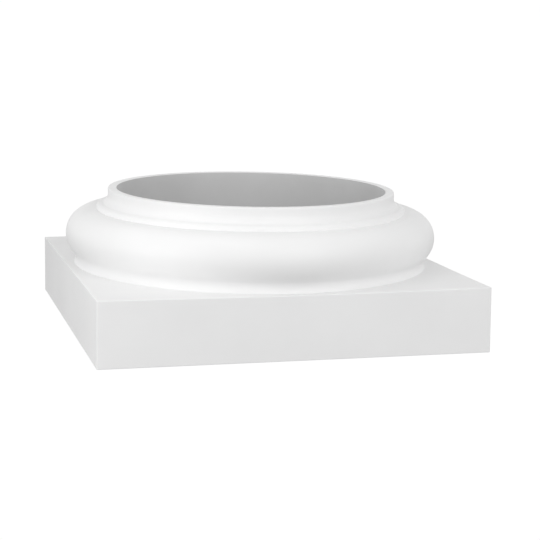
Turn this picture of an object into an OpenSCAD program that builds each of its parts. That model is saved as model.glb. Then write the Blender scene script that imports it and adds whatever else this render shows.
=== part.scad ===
/* [Plinth] */
// Side of the square plinth
plinth_side = 400; // [400:1:600]
// Height of the plinth
plinth_h = 65; // [20:1:150]

/* [Shaft seat] */
// Diameter of the column shaft that the base receives
shaft_d = 290; // [200:1:290]
// Clearance all round the shaft
shaft_gap = 0.75; // [0.25:0.25:3]
// Wall of the neck around the bore
neck_wall = 9.25; // [5:0.25:20]

/* [Moulding heights] */
// Height of the low foot between the plinth and the torus
foot_h = 4.7; // [3:0.1:9]
// Radius of the torus section
torus_r = 26.7; // [18:0.1:40]
// Height of the listel above the torus
listel_h = 5.8; // [2:0.1:6.6]
// Height of the neck above the listel
neck_h = 16.1; // [12:0.1:40]

/* [Moulding projections] */
// Projection of the torus beyond the neck
torus_out = 45; // [36:0.5:45]
// Projection of the listel beyond the neck
listel_out = 12.6; // [12:0.1:18]
// Projection of the foot beyond the neck
foot_out = 36; // [31:0.1:44]
// Radius of the rounded edge of the foot, which is also its height above the plinth
foot_edge_h = 1.2; // [1:0.1:3]
// Radius of the cavetto at the bottom of the neck
cavetto_r = 10; // [7:0.5:14]
// Spread of the cavetto beyond the neck
cavetto_out = 6; // [2:0.1:6.8]
// Radius of the hollow between the torus and the foot
foot_cove_r = 10; // [3:0.25:12]
// Radius on the outer edge of the rim
rim_round = 1.2; // [0.5:0.1:2.5]

/* [Hidden] */

// Overrun that keeps cuts clear of the faces they pass through
over = 1;
// Overlap that lets the hollow under the torus run into it at every size
blend = 0.01;

bore_r = shaft_d / 2 + shaft_gap;
neck_r = bore_r + neck_wall;
torus_centre_r = neck_r + torus_out - torus_r;
listel_r = neck_r + listel_out;
foot_r = neck_r + foot_out;

torus_centre_z = plinth_h + foot_h + torus_r;
torus_top_z = torus_centre_z + torus_r;
listel_top_z = torus_top_z + listel_h;
total_h = listel_top_z + neck_h;
edge_centre_r = foot_r - foot_edge_h;

// Centre of the cavetto arc, which meets the neck's wall with no break
cavetto_centre_r = neck_r + cavetto_r;
cavetto_centre_z = listel_top_z + sqrt(pow(cavetto_r, 2) - pow(cavetto_r - cavetto_out, 2));

// Centre of the hollow that rolls between the torus and the foot's edge, a little inside touching both
edge_to_torus = [torus_centre_r - edge_centre_r, torus_centre_z - plinth_h];
edge_reach = foot_edge_h + foot_cove_r - blend;
torus_reach = torus_r + foot_cove_r - blend;
cove_along = (pow(edge_reach, 2) - pow(torus_reach, 2) + pow(norm(edge_to_torus), 2)) / (2 * norm(edge_to_torus));
cove_aside = sqrt(pow(edge_reach, 2) - pow(cove_along, 2));
towards_torus = edge_to_torus / norm(edge_to_torus);
cove_centre = [
    edge_centre_r + towards_torus[0] * cove_along + towards_torus[1] * cove_aside,
    plinth_h + towards_torus[1] * cove_along - towards_torus[0] * cove_aside
];

// Rectangle in the section, from one radius and height to another
module band(r1, r2, z1, z2) {
    translate([r1, z1]) square([r2 - r1, z2 - z1]);
}

// Round in the section
module round_at(r, z, radius) {
    translate([r, z]) circle(r = radius, $fn = 96);
}

// Square block of the plinth
module plinth() {
    translate([-plinth_side / 2, -plinth_side / 2, 0])
        cube([plinth_side, plinth_side, plinth_h]);
}

// Foot with a rounded edge, and the hollow that joins it to the torus
module foot_section() {
    band(bore_r, edge_centre_r, plinth_h - over, plinth_h + foot_edge_h);
    intersection() {
        round_at(edge_centre_r, plinth_h, foot_edge_h);
        band(torus_centre_r, foot_r, plinth_h - over, plinth_h + foot_edge_h);
    }
    difference() {
        polygon([
            [torus_centre_r, torus_centre_z],
            [torus_centre_r, plinth_h],
            [edge_centre_r, plinth_h],
            cove_centre
        ]);
        round_at(cove_centre[0], cove_centre[1], foot_cove_r);
    }
}

// Half-round torus on its core
module torus_section() {
    band(bore_r, torus_centre_r, plinth_h, torus_top_z);
    round_at(torus_centre_r, torus_centre_z, torus_r);
}

// Low listel with a rounded outer edge
module listel_section() {
    band(bore_r, listel_r - listel_h, torus_top_z - over, listel_top_z);
    intersection() {
        round_at(listel_r - listel_h, torus_top_z, listel_h);
        band(bore_r, listel_r, torus_top_z - over, listel_top_z);
    }
}

// Neck that flares into the listel through the cavetto, with a softened rim
module neck_section() {
    difference() {
        band(bore_r, neck_r + cavetto_out, listel_top_z - over, total_h);
        round_at(cavetto_centre_r, cavetto_centre_z, cavetto_r);
        band(neck_r, neck_r + cavetto_r, cavetto_centre_z, total_h + over);
        band(neck_r - rim_round, neck_r + over, total_h - rim_round, total_h + over);
    }
    round_at(neck_r - rim_round, total_h - rim_round, rim_round);
}

// Everything above the plinth, as one turned ring
module ring() {
    rotate_extrude($fn = 180) {
        foot_section();
        torus_section();
        listel_section();
        neck_section();
    }
}

// The base, cast in one piece, with the bore right through it
module column_base() {
    color("white")
        difference() {
            union() {
                plinth();
                ring();
            }
            translate([0, 0, -over])
                cylinder(h = total_h + 2 * over, r = bore_r, $fn = 180);
        }
}

column_base();
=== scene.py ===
import math

import bpy
from mathutils import Euler, Matrix, Vector


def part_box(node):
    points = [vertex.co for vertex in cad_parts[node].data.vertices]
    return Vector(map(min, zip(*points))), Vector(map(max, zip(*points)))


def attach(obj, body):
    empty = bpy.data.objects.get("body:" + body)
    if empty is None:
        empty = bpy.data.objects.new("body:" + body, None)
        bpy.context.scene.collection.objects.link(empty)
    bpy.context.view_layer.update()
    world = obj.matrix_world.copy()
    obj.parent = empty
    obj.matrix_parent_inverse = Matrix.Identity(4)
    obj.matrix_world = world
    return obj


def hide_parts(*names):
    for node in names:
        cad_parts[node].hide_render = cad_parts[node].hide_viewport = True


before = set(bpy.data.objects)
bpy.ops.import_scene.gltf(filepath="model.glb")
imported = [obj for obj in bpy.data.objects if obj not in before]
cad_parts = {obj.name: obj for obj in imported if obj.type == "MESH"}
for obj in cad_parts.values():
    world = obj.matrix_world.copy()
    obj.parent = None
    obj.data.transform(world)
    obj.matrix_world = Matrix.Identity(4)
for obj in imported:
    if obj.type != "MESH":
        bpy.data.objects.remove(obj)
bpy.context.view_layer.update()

MM = 0.001

# ---- Sizes of the casting, as in the CAD model ----
low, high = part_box("column_base")
HALF_SIDE = (high.x - low.x) / 2
TOTAL_H = high.z - low.z
PLINTH_H = 65 * MM
BORE_R = 145.75 * MM
NECK_R = BORE_R + 9.25 * MM
TORUS_R = 26.7 * MM
TORUS_OUT = 45 * MM
FOOT_H = 4.7 * MM
FOOT_EDGE_H = 1.2 * MM
FOOT_R = NECK_R + 36 * MM
FOOT_COVE_R = 10 * MM
LISTEL_H = 5.8 * MM
LISTEL_R = NECK_R + 12.6 * MM
CAVETTO_R = 10 * MM
CAVETTO_OUT = 6 * MM
RIM_ROUND = 1.2 * MM

TORUS_CENTRE_R = NECK_R + TORUS_OUT - TORUS_R
TORUS_CENTRE_Z = PLINTH_H + FOOT_H + TORUS_R
TORUS_TOP_Z = TORUS_CENTRE_Z + TORUS_R
LISTEL_TOP_Z = TORUS_TOP_Z + LISTEL_H
EDGE_CENTRE_R = FOOT_R - FOOT_EDGE_H

# ---- Softened edges that the casting has and the CAD model leaves square ----
ARRIS_R = 0.7 * MM
CORNER_R = 1.2 * MM
BORE_EDGE_R = 0.8 * MM
UNDERSIDE_EDGE_R = 0.6 * MM

# ---- Spacing of the mesh's lines ----
EDGE_INSET = ARRIS_R + 0.3 * MM
FOOT_MARGIN = 0.3 * MM
BORE_MARGIN = 1 * MM
UNDERSIDE_INSET = 20 * MM
UNDERSIDE_ROWS = 6
SIDE_ROWS = 14
TOP_ROWS = 10
SIDE_STEPS = 76
CORNER_STEPS = 6
SHARP_ANGLE = math.radians(28)

# ---- Unevenness that the cast plinth shows in the photo ----
LIFT_FRONT_LEFT = 1.6 * MM
LIFT_FRONT_RIGHT = 2.2 * MM
LIFT_BACK_LEFT = -1.4 * MM
SPREAD_FRONT_RIGHT = 1.5 * MM
FOLLOW_H = 12 * MM


# ---- Section of the casting ----
class Level:
    """One closed line of the mesh: a square outline, a circle, or a mix of the two, at a height."""

    def __init__(self, z, radius=0.0, inset=0.0, square=0.0):
        self.z = z
        self.radius = radius
        self.inset = inset
        self.square = square


def arc(centre_r, centre_z, radius, start, end, steps):
    """Points of an arc in the section, its angles in degrees from the outward direction."""
    angles = [math.radians(start + (end - start) * i / steps) for i in range(steps + 1)]
    return [(centre_r + radius * math.cos(a), centre_z + radius * math.sin(a)) for a in angles]


def line(r1, z1, r2, z2, steps):
    """Points between two ends, without the ends."""
    return [(r1 + (r2 - r1) * i / steps, z1 + (z2 - z1) * i / steps) for i in range(1, steps)]


def arris(centre_z, start, end):
    """Rounded edge that runs round the square plinth."""
    points = arc(0, centre_z, ARRIS_R, start, end, 5)
    return [Level(z, inset=ARRIS_R - r, square=1.0) for r, z in points]


def plinth_levels():
    """Lines from the bore's lower edge across the underside, up the sides and in over the plinth's top."""
    levels = [Level(0, radius=BORE_R + UNDERSIDE_EDGE_R + BORE_MARGIN)]
    for i in range(1, UNDERSIDE_ROWS):
        share = i / UNDERSIDE_ROWS
        radius = BORE_R + (FOOT_R - BORE_R) * share
        levels.append(Level(0, radius=radius, inset=UNDERSIDE_INSET * (1 - share), square=share))
    levels.append(Level(0, inset=EDGE_INSET, square=1.0))
    levels += arris(ARRIS_R, -90, 0)
    bottom, top = EDGE_INSET, PLINTH_H - EDGE_INSET
    levels += [Level(bottom + (top - bottom) * i / SIDE_ROWS, square=1.0) for i in range(SIDE_ROWS + 1)]
    levels += arris(PLINTH_H - ARRIS_R, 0, 90)
    levels.append(Level(PLINTH_H, inset=EDGE_INSET, square=1.0))
    for i in range(1, TOP_ROWS):
        share = 1 - i / TOP_ROWS
        levels.append(Level(PLINTH_H, radius=FOOT_R + FOOT_MARGIN, inset=EDGE_INSET, square=share))
    return levels


def cove_centre():
    """Centre of the hollow that touches both the foot's rounded edge and the torus."""
    edge = Vector((EDGE_CENTRE_R, PLINTH_H))
    span = Vector((TORUS_CENTRE_R, TORUS_CENTRE_Z)) - edge
    edge_reach = FOOT_EDGE_H + FOOT_COVE_R
    torus_reach = TORUS_R + FOOT_COVE_R
    along = (edge_reach ** 2 - torus_reach ** 2 + span.length ** 2) / (2 * span.length)
    aside = math.sqrt(edge_reach ** 2 - along ** 2)
    unit = span.normalized()
    return edge + unit * along + Vector((unit.y, -unit.x)) * aside


def foot_points():
    """Foot's rounded edge, then the hollow up to the torus, and the torus itself."""
    cove = cove_centre()
    leave = math.degrees(math.atan2(cove.y - PLINTH_H, cove.x - EDGE_CENTRE_R))
    meet = math.degrees(math.atan2(cove.y - TORUS_CENTRE_Z, cove.x - TORUS_CENTRE_R))
    points = [(FOOT_R + FOOT_MARGIN, PLINTH_H), (FOOT_R, PLINTH_H)]
    points += arc(EDGE_CENTRE_R, PLINTH_H, FOOT_EDGE_H, 0, leave, 8)[1:]
    points += arc(cove.x, cove.y, FOOT_COVE_R, 180 + leave, 180 + meet, 16)[1:-1]
    points += arc(TORUS_CENTRE_R, TORUS_CENTRE_Z, TORUS_R, meet, 90, 44)
    return points


def neck_points():
    """Listel, the shelf behind it, the cavetto, and the neck up to its rounded rim."""
    points = line(TORUS_CENTRE_R, TORUS_TOP_Z, LISTEL_R, TORUS_TOP_Z, 3)
    points += arc(LISTEL_R - LISTEL_H, TORUS_TOP_Z, LISTEL_H, 0, 90, 12)
    spread = CAVETTO_R - CAVETTO_OUT
    lift = math.sqrt(CAVETTO_R ** 2 - spread ** 2)
    end = 180 + math.degrees(math.atan2(lift, spread))
    points += line(LISTEL_R - LISTEL_H, LISTEL_TOP_Z, NECK_R + CAVETTO_OUT, LISTEL_TOP_Z, 3)
    points += arc(NECK_R + CAVETTO_R, LISTEL_TOP_Z + lift, CAVETTO_R, end, 180, 10)
    points += line(NECK_R, LISTEL_TOP_Z + lift, NECK_R, TOTAL_H - RIM_ROUND, 3)
    points += arc(NECK_R - RIM_ROUND, TOTAL_H - RIM_ROUND, RIM_ROUND, 0, 90, 6)
    return points


def bore_points():
    """Flat rim, the bore's upper edge, its wall, and its lower edge."""
    points = line(NECK_R - RIM_ROUND, TOTAL_H, BORE_R + BORE_EDGE_R, TOTAL_H, 4)
    points += arc(BORE_R + BORE_EDGE_R, TOTAL_H - BORE_EDGE_R, BORE_EDGE_R, 90, 180, 5)
    points += line(BORE_R, TOTAL_H - BORE_EDGE_R, BORE_R, UNDERSIDE_EDGE_R, 14)
    points += arc(BORE_R + UNDERSIDE_EDGE_R, UNDERSIDE_EDGE_R, UNDERSIDE_EDGE_R, 180, 270, 4)
    return points


# ---- Outline of the plinth ----
def outline():
    """Spots round the plinth: the side's turn, the place along it, and the angle round its corner."""
    spots = []
    flat = HALF_SIDE - CORNER_R
    widest = math.atan2(flat, HALF_SIDE)
    for quarter in range(4):
        turn = quarter * math.pi / 2
        for i in range(SIDE_STEPS + 1):
            angle = -widest + 2 * widest * i / SIDE_STEPS
            spots.append((turn, HALF_SIDE * math.tan(angle), 0.0))
        for i in range(1, CORNER_STEPS):
            spots.append((turn, flat, math.pi / 2 * i / CORNER_STEPS))
    return spots


def spot_place(spot, inset):
    """Point of the outline drawn in by inset, for one spot round the plinth."""
    turn, along, bend = spot
    reach = HALF_SIDE - CORNER_R
    shrink = (reach - max(0.0, inset - CORNER_R)) / reach
    left = max(CORNER_R - inset, 0.0)
    x = reach * shrink + left * math.cos(bend)
    y = along * shrink + left * math.sin(bend)
    return Vector((x * math.cos(turn) - y * math.sin(turn), x * math.sin(turn) + y * math.cos(turn)))


def corner_share(x, y, side_x, side_y):
    """1 at the named corner of the plinth, falling off softly to 0 at the sides away from it."""
    return ((1 + side_x * x / HALF_SIDE) / 2 * (1 + side_y * y / HALF_SIDE) / 2) ** 3


def warped(x, y, z):
    """Place of a point once the plinth's corners are a little out of true, and the foot follows them."""
    lift = LIFT_FRONT_LEFT * corner_share(x, y, -1, -1)
    lift += LIFT_FRONT_RIGHT * corner_share(x, y, 1, -1)
    lift += LIFT_BACK_LEFT * corner_share(x, y, -1, 1)
    height_share = min(z / PLINTH_H, 1)
    fade = max(1 - max(z - PLINTH_H, 0) / FOLLOW_H, 0)
    spread = SPREAD_FRONT_RIGHT * corner_share(x, y, 1, -1) * (1 - height_share)
    return (x + spread, y, z + lift * height_share ** 2 * fade)


# ---- Casting as one closed mesh ----
def casting_mesh():
    """Levels joined in rows, the last row closing on the first, so that the mesh is one ring."""
    turned = foot_points() + neck_points() + bore_points()
    levels = plinth_levels() + [Level(z, radius=r) for r, z in turned]
    spots = outline()
    directions = []
    for spot in spots:
        place = spot_place(spot, 0.0)
        azimuth = math.atan2(place.y, place.x)
        directions.append(Vector((math.cos(azimuth), math.sin(azimuth))))
    vertices = []
    for level in levels:
        for spot, direction in zip(spots, directions):
            circle = direction * level.radius
            place = circle.lerp(spot_place(spot, level.inset), level.square)
            vertices.append(warped(place.x, place.y, level.z))
    count = len(spots)
    faces = []
    for row in range(len(levels)):
        above = (row + 1) % len(levels)
        for i in range(count):
            j = (i + 1) % count
            faces.append((row * count + i, row * count + j, above * count + j, above * count + i))
    mesh = bpy.data.meshes.new("casting")
    mesh.from_pydata(vertices, [], faces)
    mesh.validate()
    mesh.shade_smooth()
    mesh.set_sharp_from_angle(angle=SHARP_ANGLE)
    return mesh


# ---- Materials ----
CLOUD_SCALE = 14
PATCH_SCALE = 45
HOLLOW_SCALE = 22
HOLLOW_DEPTH = 0.25 * MM
ROUGHNESS_SWING = 0.06
NOISE_ROUGHNESS = 0.55
NOISE_LOW = 0.3
NOISE_HIGH = 0.7


def add_noise(nodes, links, place, scale, detail):
    """Noise over the part's own coordinates."""
    noise = nodes.new("ShaderNodeTexNoise")
    noise.inputs["Scale"].default_value = scale
    noise.inputs["Detail"].default_value = detail
    noise.inputs["Roughness"].default_value = NOISE_ROUGHNESS
    links.new(place.outputs["Object"], noise.inputs["Vector"])
    return noise


def add_range(nodes, links, noise, middle, swing):
    """Noise's usual span, spread to either side of a middle value."""
    spread = nodes.new("ShaderNodeMapRange")
    spread.inputs["From Min"].default_value = NOISE_LOW
    spread.inputs["From Max"].default_value = NOISE_HIGH
    spread.inputs["To Min"].default_value = middle - swing
    spread.inputs["To Max"].default_value = middle + swing
    links.new(noise.outputs["Fac"], spread.inputs["Value"])
    return spread


def add_bump(nodes, links, noise, depth):
    """Relief of a given depth in metres."""
    bump = nodes.new("ShaderNodeBump")
    bump.inputs["Strength"].default_value = 1
    bump.inputs["Distance"].default_value = depth
    links.new(noise.outputs["Fac"], bump.inputs["Height"])
    return bump


def finish_material(name, tone, mottle, roughness, grain_size, grain_depth):
    """Matte finish: soft mottling, uneven roughness, and a fine grain over broad hollows."""
    material = bpy.data.materials.new(name)
    material.use_nodes = True
    nodes, links = material.node_tree.nodes, material.node_tree.links
    shader = nodes["Principled BSDF"]
    place = nodes.new("ShaderNodeTexCoord")

    clouds = add_noise(nodes, links, place, CLOUD_SCALE, 3)
    tones = add_range(nodes, links, clouds, tone, mottle)
    grey = nodes.new("ShaderNodeCombineColor")
    for channel in ("Red", "Green", "Blue"):
        links.new(tones.outputs["Result"], grey.inputs[channel])
    links.new(grey.outputs["Color"], shader.inputs["Base Color"])

    patches = add_noise(nodes, links, place, PATCH_SCALE, 2)
    sheen = add_range(nodes, links, patches, roughness, ROUGHNESS_SWING)
    links.new(sheen.outputs["Result"], shader.inputs["Roughness"])

    broad = add_bump(nodes, links, add_noise(nodes, links, place, HOLLOW_SCALE, 1), HOLLOW_DEPTH)
    fine = add_bump(nodes, links, add_noise(nodes, links, place, 1 / grain_size, 2), grain_depth)
    links.new(broad.outputs["Normal"], fine.inputs["Normal"])
    links.new(fine.outputs["Normal"], shader.inputs["Normal"])
    return material


# Faces nearer the axis than the bore's wall plus this margin take the bore's painted-shade grey
BORE_SKIN = 0.2 * MM

casting = bpy.data.objects.new("column_base_casting", casting_mesh())
bpy.context.scene.collection.objects.link(casting)
casting.data.materials.append(finish_material("white_primer", 0.88, 0.012, 0.5, 1.6 * MM, 0.03 * MM))
# Darker grey on the bore's wall is painted shade for the shade inside the bore, not a different finish of
# the casting
casting.data.materials.append(finish_material("bore_painted_shade", 0.56, 0.02, 0.62, 2.5 * MM, 0.06 * MM))
for face in casting.data.polygons:
    inside = math.hypot(face.center.x, face.center.y) < BORE_R + BORE_SKIN
    face.material_index = 1 if inside else 0
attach(casting, "root")
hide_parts("column_base")

# ---- Camera ----
AIM = Vector((0.0094, -0.0499, 0.0631))
AZIMUTH = math.radians(-15.458)
ELEVATION = math.radians(10.354)
ROLL = math.radians(1.206)
DISTANCE = 1.613
LENS = 100.7
SENSOR = 36
VIEW_REACH = 2000


def towards(azimuth, elevation):
    """Direction away from the part; azimuth 0 is the front, along -Y."""
    level_share = math.cos(elevation)
    return Vector((math.sin(azimuth) * level_share, -math.cos(azimuth) * level_share, math.sin(elevation)))


camera_data = bpy.data.cameras.new("camera")
camera_data.lens = LENS
camera_data.sensor_width = SENSOR
camera_data.clip_end = VIEW_REACH
camera = bpy.data.objects.new("camera", camera_data)
bpy.context.scene.collection.objects.link(camera)
camera.location = AIM + towards(AZIMUTH, ELEVATION) * DISTANCE
aimed = Euler((math.pi / 2 - ELEVATION, 0, AZIMUTH)).to_matrix().to_4x4()
camera.rotation_euler = (aimed @ Matrix.Rotation(ROLL, 4, "Z")).to_euler()
bpy.context.scene.camera = camera

# ---- Stage and light ----
bpy.context.scene.view_settings.view_transform = "Standard"

FLOOR_REACH = 600
FLOOR_GLOW = 1.02
HORIZON = 0.5
SKY_BELOW = 0.5
SKY_TOP = 1.2
# Light by the sine of its height above the horizon
SKY_BANDS = [(0.0, 1.2), (0.2, 1.1), (0.31, 0.57), (0.42, 0.43), (0.57, 0.52), (0.8, 0.69), (1.0, 0.77)]
LAMP_AIM = Vector((0, 0, 0.08))


def add_floor():
    """Floor that shows as an even white sweep; the light that it would send up comes from the sky below."""
    corners = [(x * FLOOR_REACH, y * FLOOR_REACH, 0) for x, y in ((-1, -1), (1, -1), (1, 1), (-1, 1))]
    mesh = bpy.data.meshes.new("floor")
    mesh.from_pydata(corners, [], [(0, 1, 2, 3)])
    floor = bpy.data.objects.new("floor", mesh)
    bpy.context.scene.collection.objects.link(floor)
    material = bpy.data.materials.new("floor")
    material.use_nodes = True
    shader = material.node_tree.nodes["Principled BSDF"]
    shader.inputs["Base Color"].default_value = (0, 0, 0, 1)
    shader.inputs["Specular IOR Level"].default_value = 0
    shader.inputs["Emission Color"].default_value = (1, 1, 1, 1)
    shader.inputs["Emission Strength"].default_value = FLOOR_GLOW
    material.cycles.emission_sampling = "NONE"
    mesh.materials.append(material)
    floor.visible_diffuse = False
    floor.visible_glossy = False


def sky_grey(level):
    return (level / SKY_TOP, level / SKY_TOP, level / SKY_TOP, 1)


def add_sky():
    """Even studio surroundings: bands of light by height, and the sweep's softer light from below."""
    world = bpy.data.worlds.new("studio")
    bpy.context.scene.world = world
    world.use_nodes = True
    world.cycles.sampling_method = "NONE"
    nodes, links = world.node_tree.nodes, world.node_tree.links
    direction = nodes.new("ShaderNodeTexCoord")
    split = nodes.new("ShaderNodeSeparateXYZ")
    raised = nodes.new("ShaderNodeMapRange")
    raised.inputs["From Min"].default_value = -1
    ramp = nodes.new("ShaderNodeValToRGB")
    links.new(direction.outputs["Generated"], split.inputs["Vector"])
    links.new(split.outputs["Z"], raised.inputs["Value"])
    links.new(raised.outputs["Result"], ramp.inputs["Fac"])
    marks = ramp.color_ramp.elements
    marks[0].position = HORIZON - 0.001
    marks[0].color = sky_grey(SKY_BELOW)
    marks[1].position = 1.0
    for height, level in SKY_BANDS:
        mark = marks[-1] if height == 1.0 else marks.new(HORIZON + height / 2)
        mark.color = sky_grey(level)
    links.new(ramp.outputs["Color"], nodes["Background"].inputs["Color"])
    nodes["Background"].inputs["Strength"].default_value = SKY_TOP


def add_softbox(name, azimuth, elevation, distance, width, energy):
    """Round soft lamp that faces the part; it stays out of the picture from every side."""
    direction = towards(math.radians(azimuth), math.radians(elevation))
    data = bpy.data.lights.new(name, "AREA")
    data.shape = "DISK"
    data.size = width
    data.energy = energy
    lamp = bpy.data.objects.new(name, data)
    bpy.context.scene.collection.objects.link(lamp)
    lamp.location = LAMP_AIM + direction * distance
    lamp.rotation_euler = direction.to_track_quat("Z", "Y").to_euler()
    lamp.visible_camera = False


add_floor()
add_sky()
add_softbox("left_softbox", -60, 15, 0.8, 0.5, 1.27)
add_softbox("front_softbox", 20, 30, 1.4, 0.9, 3.87)
add_softbox("overhead_softbox", -60, 65, 0.8, 0.5, 0.52)
